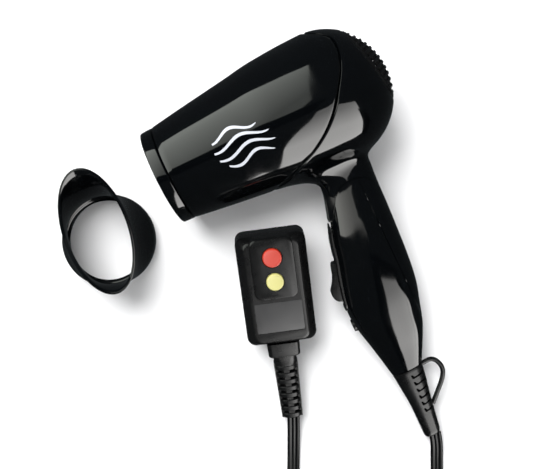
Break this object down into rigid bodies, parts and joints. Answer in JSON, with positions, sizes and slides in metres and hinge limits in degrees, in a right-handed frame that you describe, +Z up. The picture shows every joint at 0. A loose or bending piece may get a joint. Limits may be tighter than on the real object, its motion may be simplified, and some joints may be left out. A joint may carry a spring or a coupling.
{
  "type": "travel hair dryer",
  "caption": "Folding travel hair dryer with rocker switch, voltage selector, hanging loop, flat cord with protective plug, and a separate concentrator nozzle.",
  "frame": {"origin": "bottom centre of the box around the dryer and its concentrator, on the surface that they lie on", "axes": "+Z up out of the surface; +Y away from the cord's coil; the dryer's barrel points towards -X and -Y"},
  "size_m": [0.2327, 0.3617, 0.0784],
  "materials": {
    "gloss_black": "high gloss",
    "satin_black": "satin",
    "rubber_black": "satin, moulded",
    "red_plastic": "satin",
    "yellow_plastic": "satin",
    "steel": "plain",
    "brass": "plain",
    "mica": "matt mica sheet",
    "circuit_green": "solder resist"
  },
  "bodies": {
    "handle": {"handle_front_shell": "gloss_black", "handle_back_cover": "gloss_black", "hinge_pin": "steel", "hinge_washer_upper": "steel", "hinge_washer_lower": "steel", "switch_body": "satin_black", "switch_bezel": "satin_black", "voltage_switch_body": "satin_black", "cord_clamp": "satin_black", "strain_relief": "rubber_black", "hanging_loop": "rubber_black", "handle_screw_upper": "steel", "handle_screw_lower": "steel", "plug_front_cover": "satin_black", "plug_rear_case": "satin_black", "plug_prong_wide": "brass", "plug_prong_narrow": "brass", "plug_strain_relief": "satin_black", "plug_circuit_board": "circuit_green", "plug_relay": "satin_black", "plug_sensing_coil": "brass", "cord_dryer_end": "rubber_black", "cord_coil": "rubber_black", "cord_plug_end": "rubber_black", "cord_tie": "satin_black"},
    "barrel": {"front_barrel_shell": "gloss_black", "rear_housing": "gloss_black", "nozzle_ring": "gloss_black", "intake_grille": "satin_black", "outlet_grille": "satin_black", "mica_sleeve": "mica", "mica_board_a": "mica", "mica_board_b": "mica", "heating_coil": "steel", "thermostat": "steel", "thermal_fuse": "steel", "motor_can": "steel", "motor_mount": "satin_black"},
    "fan": {"fan_impeller": "satin_black", "motor_shaft": "steel"},
    "rocker": {"switch_rocker": "satin_black"},
    "selector": {"voltage_selector": "satin_black"},
    "test_button": {"plug_test_button": "red_plastic"},
    "reset_button": {"plug_reset_button": "yellow_plastic"},
    "concentrator": {"concentrator_nozzle": "gloss_black"}
  },
  "joints": [
    {"name": "handle_fold", "type": "hinge", "parent": "handle", "child": "barrel", "pos_m": [0.06178, 0.02296, 0.02956], "axis": [0.0104, -0.1676, 0.9858], "range_deg": [0, 13]},
    {"name": "fan_spin", "type": "hinge", "parent": "barrel", "child": "fan", "pos_m": [0.0425, 0.0808, 0.0396], "axis": [-0.8981, -0.4351, -0.0645], "continuous": true},
    {"name": "power_switch", "type": "hinge", "parent": "handle", "child": "rocker", "pos_m": [0.05572, -0.02201, 0.02198], "axis": [0.0104, -0.1676, 0.9858], "range_deg": [-8, 8]},
    {"name": "voltage_turn", "type": "hinge", "parent": "handle", "child": "selector", "pos_m": [0.05985, -0.05251, 0.01675], "axis": [-0.8981, -0.4351, -0.0645], "range_deg": [0, 90]},
    {"name": "test_press", "type": "slide", "parent": "handle", "child": "test_button", "axis": [-0.0318, 0.2415, -0.9699], "range_m": [0, 0.0015], "stiffness_N_per_m": 400},
    {"name": "reset_press", "type": "slide", "parent": "handle", "child": "reset_button", "axis": [-0.0318, 0.2415, -0.9699], "range_m": [0, 0.0015], "stiffness_N_per_m": 400},
    {"name": "concentrator_lift", "type": "slide", "parent": "handle", "child": "concentrator", "axis": [0, 0, 1], "range_m": [0, 0.12]}
  ]
}
